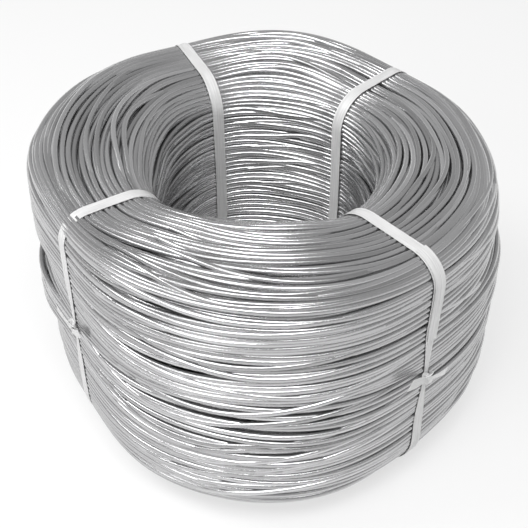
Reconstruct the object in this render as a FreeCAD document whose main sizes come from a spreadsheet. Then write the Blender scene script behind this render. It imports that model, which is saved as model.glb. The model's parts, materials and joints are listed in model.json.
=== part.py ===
import FreeCAD, Part
import Sketcher
import math
import os

# Coil of single-core electrical cable, tied with four flat plastic tapes.
# Frame: millimetres, +Z up the coil's axis, origin on that axis in the plane it rests on.
# Azimuths turn about +Z from +X. Local frame of a tie: X outwards, Y along the turns, Z up.

doc = FreeCAD.newDocument("CableCoil")

# Driving dimensions, in millimetres and degrees.
driving_sizes = {
    "coil_radius": 110,         # at the lobes between two ties
    "bore_radius": 50,          # left by the winding mandrel
    "coil_height": 141,
    "shoulder_radius": 18,      # outer edge at the top end
    "foot_radius": 32,          # outer edge at the bottom end
    "rim_radius": 13,           # edges of the bore
    "cable_diameter": 2.7,      # over the sheath
    "turn_groove_width": 1.05,  # between two neighbouring turns on an end
    "turn_groove_depth": 0.7,
    "pinch_side": 4,            # how far a tie draws the outer wall in
    "pinch_end": 4,             # how far a tie draws the ends in
    "valley_radius": 120,       # the turns' bend over a tie
    "seat_depth": 0.5,          # tape bedded below the valley's floor
    "bore_seat_depth": 2,       # tape bedded below the bore's wall
    "seat_corner_radius": 7,    # where the tape turns into the bore
    "tape_width": 5,
    "tape_thickness": 0.6,
    "tape_clearance": 0.3,
    "knot_width": 7,
    "knot_length": 8,
    "knot_thickness": 3,
    "knot_edge_radius": 1,
    "tail_width": 4.2,
    "tail_reach": 15,           # tail's tip from the tape's centre line
    "tail_slant": 5,            # rise of one tail and fall of the other
    "tail_bevel": 2,            # the oblique cut of a tail's end
}

# Every tie: azimuth and height of its knot.
tie_places = {
    "tie_back_right": (46, 70),
    "tie_back_left": (111, 78),
    "tie_front_left": (211, 77),
    "tie_front_right": (309, 74),
}

sheet = doc.addObject("Spreadsheet::Sheet", "Sizes")


def enterSize(row, alias, value):
    sheet.set("A%d" % row, alias)
    sheet.set("B%d" % row, str(value))
    sheet.setAlias("B%d" % row, alias)


rows = dict(driving_sizes)
for tie, (azimuth, knot_height) in tie_places.items():
    rows[tie + "_azimuth"] = azimuth
    rows[tie + "_knot_height"] = knot_height
for row, (alias, value) in enumerate(rows.items(), start=1):
    enterSize(row, alias, value)
doc.recompute()


# Expressions name cells by alias; this puts the sheet's name before each one.
def onSheet(expression):
    words = expression.split()
    named = ["Sizes." + word if word in rows else word for word in words]
    return " ".join(named)


def worth(owner, expression):
    return float(owner.evalExpression(onSheet(expression)))


# ---- sketches ----

vertical_plane = FreeCAD.Placement(FreeCAD.Vector(), FreeCAD.Rotation(FreeCAD.Vector(1, 0, 0), 90))


def originPlane(body, role):
    for feature in body.Origin.OriginFeatures:
        if feature.Role == role:
            return feature
    raise RuntimeError("no origin plane " + role)


def bodySketch(body, name, role):
    sketch = body.newObject("Sketcher::SketchObject", name)
    sketch.AttachmentSupport = (originPlane(body, role), [""])
    sketch.MapMode = "FlatFace"
    return sketch


def freeSketch(name, placement):
    sketch = doc.addObject("Sketcher::SketchObject", name)
    sketch.Placement = placement
    return sketch


def bind(sketch, kind, elements, expression):
    value = worth(sketch, expression)
    index = sketch.addConstraint(Sketcher.Constraint(kind, *elements, value))
    sketch.setExpression("Constraints[%d]" % index, onSheet(expression))


# Sets a point's two coordinates from the sketch's origin.
def pinPoint(sketch, geometry, end, across, up):
    bind(sketch, "DistanceX", (-1, 1, geometry, end), across)
    bind(sketch, "DistanceY", (-1, 1, geometry, end), up)


def quarterArc(centre, radius, start_angle):
    circle = Part.Circle(centre, FreeCAD.Vector(0, 0, 1), radius)
    start = math.radians(start_angle)
    return Part.ArcOfCircle(circle, start, start + math.pi / 2)


# A closed rectangle with four rounded corners, all eight sizes bound to the sheet.
# corner_radii: right top, left top, left bottom, right bottom.
def roundedOutline(sketch, left, right, bottom, top, corner_radii):
    sides = [(right, top, -1, -1), (left, top, 1, -1), (left, bottom, 1, 1), (right, bottom, -1, 1)]
    arcs = []
    for corner, (across, up, inward_x, inward_y) in enumerate(sides):
        radius = worth(sketch, corner_radii[corner])
        centre = FreeCAD.Vector(
            worth(sketch, across) + inward_x * radius, worth(sketch, up) + inward_y * radius, 0)
        arcs.append(sketch.addGeometry(quarterArc(centre, radius, corner * 90), False))
    lines = []
    for corner in range(4):
        start = sketch.getPoint(arcs[corner], 2)
        end = sketch.getPoint(arcs[(corner + 1) % 4], 1)
        lines.append(sketch.addGeometry(Part.LineSegment(start, end), False))
    for corner in range(4):
        after = arcs[(corner + 1) % 4]
        sketch.addConstraint(Sketcher.Constraint("Tangent", arcs[corner], 2, lines[corner], 1))
        sketch.addConstraint(Sketcher.Constraint("Tangent", lines[corner], 2, after, 1))
        direction = "Horizontal" if corner % 2 == 0 else "Vertical"
        sketch.addConstraint(Sketcher.Constraint(direction, lines[corner]))
        bind(sketch, "Radius", (arcs[corner],), corner_radii[corner])
    bind(sketch, "DistanceY", (-1, 1, lines[0], 1), top)
    bind(sketch, "DistanceX", (-1, 1, lines[1], 1), left)
    bind(sketch, "DistanceY", (-1, 1, lines[2], 1), bottom)
    bind(sketch, "DistanceX", (-1, 1, lines[3], 1), right)


# A closed polygon, each corner pinned by its own two expressions.
def polygonOutline(sketch, corners):
    points = [FreeCAD.Vector(worth(sketch, across), worth(sketch, up), 0) for across, up in corners]
    lines = []
    for place, point in enumerate(points):
        after = points[(place + 1) % len(points)]
        lines.append(sketch.addGeometry(Part.LineSegment(point, after), False))
    for place, line in enumerate(lines):
        after = lines[(place + 1) % len(lines)]
        sketch.addConstraint(Sketcher.Constraint("Coincident", line, 2, after, 1))
        pinPoint(sketch, line, 1, *corners[place])


# ---- the coil ----

# Section of the pack of turns where a tape seats on it.
seat_left = "bore_radius + bore_seat_depth"
seat_right = "coil_radius - pinch_side - seat_depth"
seat_bottom = "pinch_end + seat_depth"
seat_top = "coil_height - pinch_end - seat_depth"
seat_radii = ["shoulder_radius", "seat_corner_radius", "seat_corner_radius", "foot_radius"]


def woundCoil():
    body = doc.addObject("PartDesign::Body", "WoundCoil")
    section = bodySketch(body, "CoilSection", "XZ_Plane")
    roundedOutline(section, "bore_radius", "coil_radius", "0 * coil_height", "coil_height",
                   ["shoulder_radius", "rim_radius", "rim_radius", "foot_radius"])
    turned = body.newObject("PartDesign::Revolution", "TurnedCoil")
    turned.Profile = section
    turned.ReferenceAxis = (section, ["V_Axis"])
    turned.Angle = 360
    doc.recompute()

    # One groove between each two turns that lie on the flat of an end.
    grooves = bodySketch(body, "TurnGrooves", "XZ_Plane")
    ends = [("shoulder_radius", "coil_height", "-", "+"), ("foot_radius", "0 * coil_height", "+", "-")]
    for edge_radius, end, inwards, outwards in ends:
        flat = worth(grooves, "coil_radius - %s - bore_radius - rim_radius" % edge_radius)
        turns = int(flat / worth(grooves, "cable_diameter"))
        for turn in range(1, turns):
            middle = "bore_radius + rim_radius + %d * cable_diameter" % turn
            mouth = "%s %s turn_groove_depth" % (end, outwards)
            bottom = "%s %s turn_groove_depth" % (end, inwards)
            polygonOutline(grooves, [
                (middle + " - turn_groove_width", mouth),
                (middle + " + turn_groove_width", mouth),
                (middle, bottom),
            ])
    cut = body.newObject("PartDesign::Groove", "EndTurns")
    cut.Profile = grooves
    cut.ReferenceAxis = (grooves, ["V_Axis"])
    cut.Angle = 360
    doc.recompute()
    return body


def turnToTie(feature, tie):
    angle = onSheet(tie + "_azimuth")
    feature.setExpression("Placement", "placement(vector(0; 0; 0); rotation(vector(0; 0; 1); %s))" % angle)


# The long soft dip that a tie draws into both ends and the outer wall: a wide circle
# carried round the section at a distance of its own radius.
def valleyCutter(tie):
    path = freeSketch("ValleyPath_" + tie, vertical_plane)
    high = "coil_height - pinch_end + valley_radius"
    low = "pinch_end - valley_radius"
    wall = "coil_radius - pinch_side + valley_radius"
    start = "bore_radius * 0.3"
    shoulder_x = "coil_radius - pinch_side - shoulder_radius"
    shoulder_z = "coil_height - pinch_end - shoulder_radius"
    foot_x = "coil_radius - pinch_side - foot_radius"
    foot_z = "pinch_end + foot_radius"

    def at(across, up):
        return FreeCAD.Vector(worth(path, across), worth(path, up), 0)

    shoulder_arc = quarterArc(at(shoulder_x, shoulder_z), worth(path, "shoulder_radius + valley_radius"), 0)
    foot_arc = quarterArc(at(foot_x, foot_z), worth(path, "foot_radius + valley_radius"), 270)
    top = path.addGeometry(Part.LineSegment(at(start, high), at(shoulder_x, high)), False)
    shoulder = path.addGeometry(shoulder_arc, False)
    side = path.addGeometry(Part.LineSegment(at(wall, shoulder_z), at(wall, foot_z)), False)
    foot = path.addGeometry(foot_arc, False)
    base = path.addGeometry(Part.LineSegment(at(foot_x, low), at(start, low)), False)
    path.addConstraint(Sketcher.Constraint("Tangent", top, 2, shoulder, 2))
    path.addConstraint(Sketcher.Constraint("Tangent", shoulder, 1, side, 1))
    path.addConstraint(Sketcher.Constraint("Tangent", side, 2, foot, 2))
    path.addConstraint(Sketcher.Constraint("Tangent", foot, 1, base, 1))
    path.addConstraint(Sketcher.Constraint("Horizontal", top))
    path.addConstraint(Sketcher.Constraint("Vertical", side))
    path.addConstraint(Sketcher.Constraint("Horizontal", base))
    pinPoint(path, top, 1, start, high)
    pinPoint(path, base, 2, start, low)
    bind(path, "DistanceX", (-1, 1, side, 1), wall)
    bind(path, "Radius", (shoulder,), "shoulder_radius + valley_radius")
    bind(path, "Radius", (foot,), "foot_radius + valley_radius")

    profile = freeSketch("ValleyProfile_" + tie, FreeCAD.Placement())
    upright = FreeCAD.Rotation(FreeCAD.Vector(0, 1, 0), FreeCAD.Vector(0, 0, 1), FreeCAD.Vector(1, 0, 0), "XYZ")
    profile.Placement = FreeCAD.Placement(FreeCAD.Vector(worth(path, start), 0, 0), upright)
    profile.setExpression("Placement.Base.x", onSheet(start))
    circle = Part.Circle(FreeCAD.Vector(0, worth(path, high), 0), FreeCAD.Vector(0, 0, 1), worth(path, "valley_radius"))
    ring = profile.addGeometry(circle, False)
    pinPoint(profile, ring, 3, "0 * coil_height", high)
    bind(profile, "Radius", (ring,), "valley_radius")

    valley = doc.addObject("Part::Sweep", "Valley_" + tie)
    valley.Sections = [profile]
    valley.Spine = (path, ["Edge%d" % (edge + 1) for edge in range(5)])
    valley.Solid = True
    valley.Frenet = False
    turnToTie(valley, tie)
    return valley


# The narrow channel that the tape lies in, all the way round the section.
def seatCutter(tie):
    outline = freeSketch("SeatOutline_" + tie, vertical_plane)
    roundedOutline(outline, seat_left, seat_right, seat_bottom, seat_top, seat_radii)
    polygonOutline(outline, [
        ("bore_radius - tape_width", "0 - tape_width"),
        ("coil_radius + tape_width", "0 - tape_width"),
        ("coil_radius + tape_width", "coil_height + tape_width"),
        ("bore_radius - tape_width", "coil_height + tape_width"),
    ])
    channel = doc.addObject("Part::Extrusion", "Seat_" + tie)
    channel.Base = outline
    channel.DirMode = "Custom"
    channel.Dir = FreeCAD.Vector(0, 1, 0)
    channel.Solid = True
    channel.Symmetric = True
    channel.setExpression("LengthFwd", onSheet("tape_width + 2 * tape_clearance"))
    turnToTie(channel, tie)
    return channel


def cableCoil():
    coil = woundCoil()
    for tie in tie_places:
        for cutter in (valleyCutter(tie), seatCutter(tie)):
            cut = doc.addObject("Part::Cut", "Coil_less_" + cutter.Name)
            cut.Base = coil
            cut.Tool = cutter
            coil = cut
    coil.Label = "cable_coil"
    return coil


# ---- the ties ----

def grown(expression, sign, amount):
    return "%s %s ( %s )" % (expression, sign, amount)


# Outline that stands off the tape's seat by the given amount.
def offSeat(sketch, amount):
    roundedOutline(
        sketch,
        grown(seat_left, "-", amount), grown(seat_right, "+", amount),
        grown(seat_bottom, "-", amount), grown(seat_top, "+", amount),
        [grown(radius, "+", amount) for radius in seat_radii])


# A sketch that faces outwards, at the given distance from the coil's axis.
def outwardSketch(body, name, distance):
    sketch = bodySketch(body, name, "YZ_Plane")
    sketch.AttachmentOffset = FreeCAD.Placement(FreeCAD.Vector(0, 0, worth(sketch, distance)), FreeCAD.Rotation())
    sketch.setExpression("AttachmentOffset.Base.z", onSheet(distance))
    return sketch


def pad(body, name, sketch, length, symmetric=False):
    feature = body.newObject("PartDesign::Pad", name)
    feature.Profile = sketch
    feature.setExpression("Length", onSheet(length))
    if symmetric:
        feature.SideType = "Symmetric"
    doc.recompute()
    return feature


# Rounds the knot's outward edges, found by their distance from the coil's axis.
def roundKnot(body, tie, lump, band_face):
    front = worth(body, band_face + " + knot_thickness")
    names = []
    for place, edge in enumerate(lump.Shape.Edges, start=1):
        if all(abs(vertex.Point.x - front) < 0.001 for vertex in edge.Vertexes):
            names.append("Edge%d" % place)
    rounding = body.newObject("PartDesign::Fillet", "KnotEdges_" + tie)
    rounding.Base = (lump, names)
    rounding.setExpression("Radius", onSheet("knot_edge_radius"))
    doc.recompute()


def tapeTie(tie):
    body = doc.addObject("PartDesign::Body", tie)
    body.Label = tie
    band = bodySketch(body, "BandOutline_" + tie, "XZ_Plane")
    offSeat(band, "tape_clearance")
    offSeat(band, "tape_clearance + tape_thickness")
    pad(body, "Band_" + tie, band, "tape_width", symmetric=True)

    band_face = seat_right + " + tape_clearance + tape_thickness"
    knot_middle = tie + "_knot_height"
    knot = outwardSketch(body, "KnotOutline_" + tie, band_face)
    roundedOutline(
        knot, "0 - knot_width / 2", "knot_width / 2",
        knot_middle + " - knot_length / 2", knot_middle + " + knot_length / 2", ["knot_width / 4"] * 4)
    roundKnot(body, tie, pad(body, "Knot_" + tie, knot, "knot_thickness"), band_face)

    # The tails leave the knot's outer half, one rising and one falling.
    tail_level = band_face + " + knot_thickness - knot_edge_radius - tape_thickness"
    for side, name in (("-", "FallingTail"), ("+", "RisingTail")):
        tail = outwardSketch(body, "%sOutline_%s" % (name, tie), tail_level)
        tip = "0 %s tail_reach" % side
        tip_middle = "%s %s tail_slant" % (knot_middle, side)
        polygonOutline(tail, [
            ("0 * knot_width", knot_middle + " - tail_width / 2"),
            (tip, tip_middle + " - tail_width / 2"),
            (tip + " %s tail_bevel" % side, tip_middle + " + tail_width / 2"),
            ("0 * knot_width", knot_middle + " + tail_width / 2"),
        ])
        pad(body, "%s_%s" % (name, tie), tail, "tape_thickness")
    turnToTie(body, tie)
    return body


pieces = [cableCoil()] + [tapeTie(tie) for tie in tie_places]
doc.recompute()

for item in doc.Objects:
    if "Invalid" in item.State or "Error" in item.State:
        raise RuntimeError("%s did not build: %s" % (item.Name, item.State))
for piece in pieces:
    if piece.Shape.isNull() or not piece.Shape.isValid() or len(piece.Shape.Solids) != 1:
        raise RuntimeError("%s has no single valid solid" % piece.Label)

os.makedirs("parts", exist_ok=True)
for piece in pieces:
    piece.Shape.exportStep("parts/%s.step" % piece.Label)
    box = piece.Shape.BoundBox
    print("%s: %.0f mm3, x %.1f..%.1f, y %.1f..%.1f, z %.1f..%.1f" % (
        piece.Label, piece.Shape.Volume, box.XMin, box.XMax, box.YMin, box.YMax, box.ZMin, box.ZMax))
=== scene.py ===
import bpy
import json
import math
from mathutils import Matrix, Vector


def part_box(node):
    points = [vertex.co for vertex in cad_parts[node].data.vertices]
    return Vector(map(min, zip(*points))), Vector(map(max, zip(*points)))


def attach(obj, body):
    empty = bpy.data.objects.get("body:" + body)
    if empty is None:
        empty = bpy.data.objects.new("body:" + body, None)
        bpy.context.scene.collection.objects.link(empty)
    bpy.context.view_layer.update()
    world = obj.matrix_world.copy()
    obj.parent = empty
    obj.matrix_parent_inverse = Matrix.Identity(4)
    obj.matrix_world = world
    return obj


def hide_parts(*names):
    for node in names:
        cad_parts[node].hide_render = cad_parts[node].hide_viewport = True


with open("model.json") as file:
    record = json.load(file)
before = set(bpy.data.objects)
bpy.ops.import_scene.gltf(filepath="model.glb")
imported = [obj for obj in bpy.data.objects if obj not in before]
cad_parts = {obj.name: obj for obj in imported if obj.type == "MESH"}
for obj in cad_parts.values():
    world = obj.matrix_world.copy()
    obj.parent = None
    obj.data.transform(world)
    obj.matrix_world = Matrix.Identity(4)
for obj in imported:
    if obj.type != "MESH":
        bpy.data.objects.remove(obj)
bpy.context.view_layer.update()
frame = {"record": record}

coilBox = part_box("cable_coil")
record = frame["record"]
boreMount = next(mount for mount in record["mounts"] if mount["name"] == "bore")

# the pack of turns, in metres; its overall sizes come from the frame
swellRoom = 0.0006           # kept back, because the turns swell between the ties
coil = {
    "outerRadius": (coilBox[1].x - coilBox[0].x) / 2 - swellRoom,
    "boreRadius": boreMount["dims"]["r_mm"] / 1000,
    "height": coilBox[1].z - coilBox[0].z,
    "shoulderRadius": 0.017,
    "footRadius": 0.033,
    "rimRadius": 0.020,
    "pinchSide": 0.004,      # how far a tie draws the outer wall in
    "pinchEnd": 0.0038,      # how far a tie draws the ends in
    "pinchBore": 0.0018,     # how far a tie draws the bore's wall in
    "tieSpread": 0.26,       # radians from a tie to where the turns swell again
    # the coil is not quite round and its top not quite level: each swings with the
    # azimuth's cosine, its sine, and the cosine of twice its angle from ovalTurn
    "sideSwing": (0.0018, 0.0008, -0.0032),
    "levelSwing": (-0.0008, -0.0010, -0.0012),
    "ovalTurn": 0.32,
}

cable = {
    "diameter": 0.0027,
    "turnSpacing": 0.0027,
    "sides": 8,
}

# runs of turns that bulge out of the side, or sink in where the reach is
# negative: azimuth and spread in radians, the rest in metres
bulges = [
    {"azimuth": 0.05, "level": 0.128, "reach": -0.0028, "halfHeight": 0.028, "spread": 0.45},
    {"azimuth": -0.15, "level": 0.067, "reach": 0.0021, "halfHeight": 0.037, "spread": 0.42},
    {"azimuth": 3.2, "level": 0.119, "reach": 0.0036, "halfHeight": 0.024, "spread": 0.40},
    {"azimuth": 3.35, "level": 0.069, "reach": 0.0056, "halfHeight": 0.013, "spread": 0.28},
]
bulgeEdge = 0.006            # height over which a bulge dies away

ties = ["tie_back_right", "tie_back_left", "tie_front_left", "tie_front_right"]


def tieAzimuth(name):
    low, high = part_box(name)
    middle = (low + high) / 2
    return math.atan2(middle.y, middle.x)


tieAngles = [tieAzimuth(name) for name in ties]
print("frame loaded, ties at", [round(math.degrees(angle)) for angle in tieAngles])


def linear(hexColour):
    channels = [int(hexColour[i:i + 2], 16) / 255 for i in (1, 3, 5)]
    return tuple(c / 12.92 if c <= 0.04045 else ((c + 0.055) / 1.055) ** 2.4 for c in channels) + (1.0,)


# adds a node, sets its properties, then sets or links its inputs; a node given as
# an input is linked by its first output, and a list is linked one by one
def addNode(tree, kind, settings=None, inputs=None):
    node = tree.nodes.new(kind)
    for name, value in (settings or {}).items():
        setattr(node, name, value)
    for key, value in (inputs or {}).items():
        for item in value if isinstance(value, list) else [value]:
            if isinstance(item, bpy.types.Node):
                tree.links.new(item.outputs[0], node.inputs[key])
            elif isinstance(item, bpy.types.NodeSocket):
                tree.links.new(item, node.inputs[key])
            else:
                node.inputs[key].default_value = item
    return node


def emptyMaterial(name):
    material = bpy.data.materials.new(name)
    material.use_nodes = True
    material.node_tree.nodes.clear()
    return material


# nearly all of a noise node's values lie between these
noiseLow = 0.3
noiseHigh = 0.7

# the two kinds of attribute that the trees store
floatOnPoints = {"data_type": "FLOAT", "domain": "POINT"}
vectorOnPoints = {"data_type": "FLOAT_VECTOR", "domain": "POINT"}


sheathLook = {
    "colour": "#B8B8B9",
    "roughness": 0.23,
    "metallic": 0.85,
    "patchScale": 4.5,       # patches of tone per metre of cable
    "patchDark": 0.70,
    "patchBright": 1.2,
    "layPitch": 0.009,       # one twist of the conductor's wires, seen through the sheath
    "wireScale": 2.6,
    "reliefStrength": 0.25,
    "reliefDepth": 0.0003,
    "coat": 0.8,
    "coatRoughness": 0.06,
    "coatIor": 1.53,
}


# clear plasticised PVC over bright tinned copper: silver grey, a thin hard
# highlight along every turn and a softer metal glow under it
def clearSheathOverTinnedCopper():
    material = emptyMaterial("clearPvcOverTinnedCopper")
    tree = material.node_tree
    run = addNode(tree, "ShaderNodeAttribute", {"attribute_name": "cableRun"})
    patches = addNode(tree, "ShaderNodeTexNoise", {"noise_dimensions": "1D"},
                      {"W": run.outputs["Fac"], "Scale": sheathLook["patchScale"], "Detail": 2.0})
    tone = addNode(tree, "ShaderNodeMapRange", None, {
        "Value": patches.outputs["Fac"], "From Min": noiseLow, "From Max": noiseHigh,
        "To Min": sheathLook["patchDark"], "To Max": sheathLook["patchBright"]})
    colour = addNode(tree, "ShaderNodeVectorMath", {"operation": "SCALE"},
                     {0: linear(sheathLook["colour"])[:3], "Scale": tone})
    # the lay of the conductor: wires that wind round the cable, faint under the sheath
    around = addNode(tree, "ShaderNodeAttribute", {"attribute_name": "cableRound"})
    twist = addNode(tree, "ShaderNodeMath", {"operation": "MULTIPLY"},
                    {0: run.outputs["Fac"], 1: math.tau / sheathLook["layPitch"]})
    turned = addNode(tree, "ShaderNodeVectorRotate", {"rotation_type": "Z_AXIS"},
                     {"Vector": around.outputs["Vector"], "Angle": twist})
    wires = addNode(tree, "ShaderNodeTexNoise", {"noise_dimensions": "3D"},
                    {"Vector": turned, "Scale": sheathLook["wireScale"], "Detail": 1.0})
    relief = addNode(tree, "ShaderNodeBump", None, {
        "Height": wires.outputs["Fac"], "Strength": sheathLook["reliefStrength"],
        "Distance": sheathLook["reliefDepth"]})
    shader = addNode(tree, "ShaderNodeBsdfPrincipled", None, {
        "Base Color": colour.outputs["Vector"],
        "Metallic": sheathLook["metallic"],
        "Roughness": sheathLook["roughness"],
        "Normal": relief.outputs["Normal"],
        "Coat Weight": sheathLook["coat"],
        "Coat Roughness": sheathLook["coatRoughness"],
        "Coat IOR": sheathLook["coatIor"],
    })
    addNode(tree, "ShaderNodeOutputMaterial", None, {"Surface": shader})
    return material


# a tree with its named inputs and one output of geometry
def emptyTree(name, sizes, places, counts):
    tree = bpy.data.node_groups.new(name, "GeometryNodeTree")
    face = tree.interface
    face.new_socket("Geometry", in_out="OUTPUT", socket_type="NodeSocketGeometry")
    for kind, names in (("NodeSocketFloat", sizes), ("NodeSocketVector", places), ("NodeSocketInt", counts)):
        for inputName in names:
            face.new_socket(inputName, in_out="INPUT", socket_type=kind)
    return tree


def finishTree(tree, geometry, material):
    real = addNode(tree, "GeometryNodeRealizeInstances", None, {"Geometry": geometry})
    painted = addNode(tree, "GeometryNodeSetMaterial", None, {"Geometry": real, "Material": material})
    addNode(tree, "NodeGroupOutput", None, {0: painted})


# outline of the coil's section: X is the radius, Y the height, and it is walked
# upwards on the outer wall
def sectionOutline(tree, given, spans, cornerPoints):
    outer, bore, top, bottom = spans
    corners = {}
    for number, (across, up) in enumerate(
            ((outer, bottom), (outer, top), (bore, top), (bore, bottom)), start=1):
        corners["Point %d" % number] = addNode(tree, "ShaderNodeCombineXYZ", None, {"X": across, "Y": up})
    sharp = addNode(tree, "GeometryNodeCurvePrimitiveQuadrilateral", {"mode": "POINTS"}, corners)
    which = addNode(tree, "GeometryNodeInputIndex")
    cornerRadius = addNode(tree, "GeometryNodeIndexSwitch", {"data_type": "FLOAT"})
    cornerRadius.index_switch_items.new()
    cornerRadius.index_switch_items.new()
    tree.links.new(which.outputs[0], cornerRadius.inputs["Index"])
    for place, name in enumerate(("Foot Radius", "Shoulder Radius", "Rim Radius", "Rim Radius"), start=1):
        tree.links.new(given[name], cornerRadius.inputs[place])
    return addNode(tree, "GeometryNodeFilletCurve", {"mode": "POLY"}, {
        "Curve": sharp, "Count": cornerPoints, "Radius": cornerRadius, "Limit Radius": False})


# 1 at an azimuth, falling to 0 on both sides of it
def nearAzimuth(tree, angle, azimuth, squareSpread):
    away = addNode(tree, "ShaderNodeMath", {"operation": "SUBTRACT"}, {0: angle, 1: azimuth})
    near = addNode(tree, "ShaderNodeMath", {"operation": "COSINE"}, {0: away})
    fall = addNode(tree, "ShaderNodeMath", {"operation": "SUBTRACT"}, {0: near, 1: 1.0})
    steep = addNode(tree, "ShaderNodeMath", {"operation": "DIVIDE"}, {0: fall, 1: squareSpread})
    return addNode(tree, "ShaderNodeMath", {"operation": "EXPONENT"}, {0: steep})


# slow random drifts of a turn: how often round the coil, what they follow and how
# fast they change
drifts = {
    "wander": {"round": 0.8, "follows": "turn", "rate": 0.12, "seed": 0.0},
    "bunch": {"round": 0.7, "follows": "bunch", "rate": 2.3, "seed": 11.0},
    "stray": {"round": 0.75, "follows": "turn", "rate": 5.3, "seed": 17.0},
    "swell": {"round": 0.9, "follows": "bunch", "rate": 1.7, "seed": 23.0},
    "lift": {"round": 1.5, "follows": "turn", "rate": 0.9, "seed": 37.0},
    "tier": {"round": 0.9, "follows": "turn", "rate": 0.05, "seed": 41.0},
}

# how the turns lie together and what the ties do to them
winding = {
    "cornerPoints": 12,      # on each rounded corner of the section
    "liftHeld": 0.9,         # share of a turn's lift that a tie takes away
    "shiftHeld": 0.4,        # and of its drift along the outline
    "bunchEnd": 0.75,        # share of a bunch after which it eases into the next
    "proudFrom": -0.6,       # drift at which a bunch starts to stand proud
    "proudTo": 0.8,
}


# one long helix laid round the outline of the coil's section, layer by layer
def windingTree(material):
    sizes = [
        "Outer Radius", "Bore Radius", "Height", "Shoulder Radius", "Foot Radius", "Rim Radius",
        "Pinch Side", "Pinch End", "Pinch Bore", "Tie Spread", "Tie 1", "Tie 2", "Tie 3", "Tie 4",
        "Oval Turn", "Cable Radius", "Turn Spacing", "Depth", "Tuck", "From", "To", "Wander", "Bunch",
        "Stray", "Lift", "Proud", "Tier", "Bunch Size", "Slope", "Seed",
    ]
    tree = emptyTree("windTurns", sizes, ["Side Swing", "Level Swing"], ["Stations", "Sides"])
    given = addNode(tree, "NodeGroupInput").outputs
    spans = (given["Outer Radius"], given["Bore Radius"], given["Height"], 0.0)
    section = sectionOutline(tree, given, spans, winding["cornerPoints"])
    girth = addNode(tree, "GeometryNodeCurveLength", None, {"Curve": section})

    # how many turns cover the outline, and which of them this piece holds
    rawTurns = addNode(tree, "ShaderNodeMath", {"operation": "DIVIDE"},
                       {0: girth, 1: given["Turn Spacing"]})
    turns = addNode(tree, "ShaderNodeMath", {"operation": "ROUND"}, {0: rawTurns})
    share = addNode(tree, "ShaderNodeMath", {"operation": "SUBTRACT"}, {0: given["To"], 1: given["From"]})
    shareTurns = addNode(tree, "ShaderNodeMath", {"operation": "MULTIPLY"}, {0: turns, 1: share})
    points = addNode(tree, "ShaderNodeMath", {"operation": "MULTIPLY_ADD"},
                     {0: shareTurns, 1: given["Stations"], 2: 1.0})
    line = addNode(tree, "GeometryNodeMeshLine", None, {"Count": points})
    strand = addNode(tree, "GeometryNodeMeshToCurve", None, {"Mesh": line})

    index = addNode(tree, "GeometryNodeInputIndex")
    localTurn = addNode(tree, "ShaderNodeMath", {"operation": "DIVIDE"},
                        {0: index, 1: given["Stations"]})
    turn = addNode(tree, "ShaderNodeMath", {"operation": "MULTIPLY_ADD"},
                   {0: turns, 1: given["From"], 2: localTurn})
    slopedTurn = addNode(tree, "ShaderNodeMath", {"operation": "MULTIPLY"}, {0: turn, 1: given["Slope"]})
    angle = addNode(tree, "ShaderNodeMath", {"operation": "MULTIPLY"}, {0: slopedTurn, 1: math.tau})
    cosine = addNode(tree, "ShaderNodeMath", {"operation": "COSINE"}, {0: angle})
    sine = addNode(tree, "ShaderNodeMath", {"operation": "SINE"}, {0: angle})

    # hold is 1 at a tie and falls to 0 between the ties
    squareSpread = addNode(tree, "ShaderNodeMath", {"operation": "MULTIPLY"},
                           {0: given["Tie Spread"], 1: given["Tie Spread"]})
    hold = 0.0
    for number in range(1, 5):
        grip = nearAzimuth(tree, angle, given["Tie %d" % number], squareSpread)
        hold = addNode(tree, "ShaderNodeMath", {"operation": "MAXIMUM"}, {0: hold, 1: grip})
    free = addNode(tree, "ShaderNodeMath", {"operation": "MULTIPLY_ADD"},
                   {0: hold, 1: -winding["liftHeld"], 2: 1.0})
    loose = addNode(tree, "ShaderNodeMath", {"operation": "MULTIPLY_ADD"},
                    {0: hold, 1: -winding["shiftHeld"], 2: 1.0})

    # bunches: a run of turns that lies together, easing into the next bunch
    bunchPlace = addNode(tree, "ShaderNodeMath", {"operation": "DIVIDE"}, {0: turn, 1: given["Bunch Size"]})
    bunchWhole = addNode(tree, "ShaderNodeMath", {"operation": "FLOOR"}, {0: bunchPlace})
    bunchRest = addNode(tree, "ShaderNodeMath", {"operation": "FRACT"}, {0: bunchPlace})
    bunchStep = addNode(tree, "ShaderNodeMapRange", {"interpolation_type": "SMOOTHSTEP"},
                        {"Value": bunchRest, "From Min": winding["bunchEnd"], "From Max": 1.0})
    bunch = addNode(tree, "ShaderNodeMath", {"operation": "ADD"}, {0: bunchWhole, 1: bunchStep})

    drift = {}
    for name, kind in drifts.items():
        follows = turn if kind["follows"] == "turn" else bunch
        along = addNode(tree, "ShaderNodeMath", {"operation": "MULTIPLY"}, {0: follows, 1: kind["rate"]})
        x = addNode(tree, "ShaderNodeMath", {"operation": "MULTIPLY"}, {0: cosine, 1: kind["round"]})
        y = addNode(tree, "ShaderNodeMath", {"operation": "MULTIPLY"}, {0: sine, 1: kind["round"]})
        spot = addNode(tree, "ShaderNodeCombineXYZ", None, {"X": x, "Y": y, "Z": along})
        seed = addNode(tree, "ShaderNodeMath", {"operation": "ADD"}, {0: given["Seed"], 1: kind["seed"]})
        noise = addNode(tree, "ShaderNodeTexNoise", {"noise_dimensions": "4D"},
                        {"Vector": spot, "W": seed, "Scale": 1.0, "Detail": 0.0})
        signed = addNode(tree, "ShaderNodeMapRange", {"clamp": False}, {
            "Value": noise, "From Min": noiseLow, "From Max": noiseHigh, "To Min": -1.0, "To Max": 1.0})
        drift[name] = signed

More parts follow.
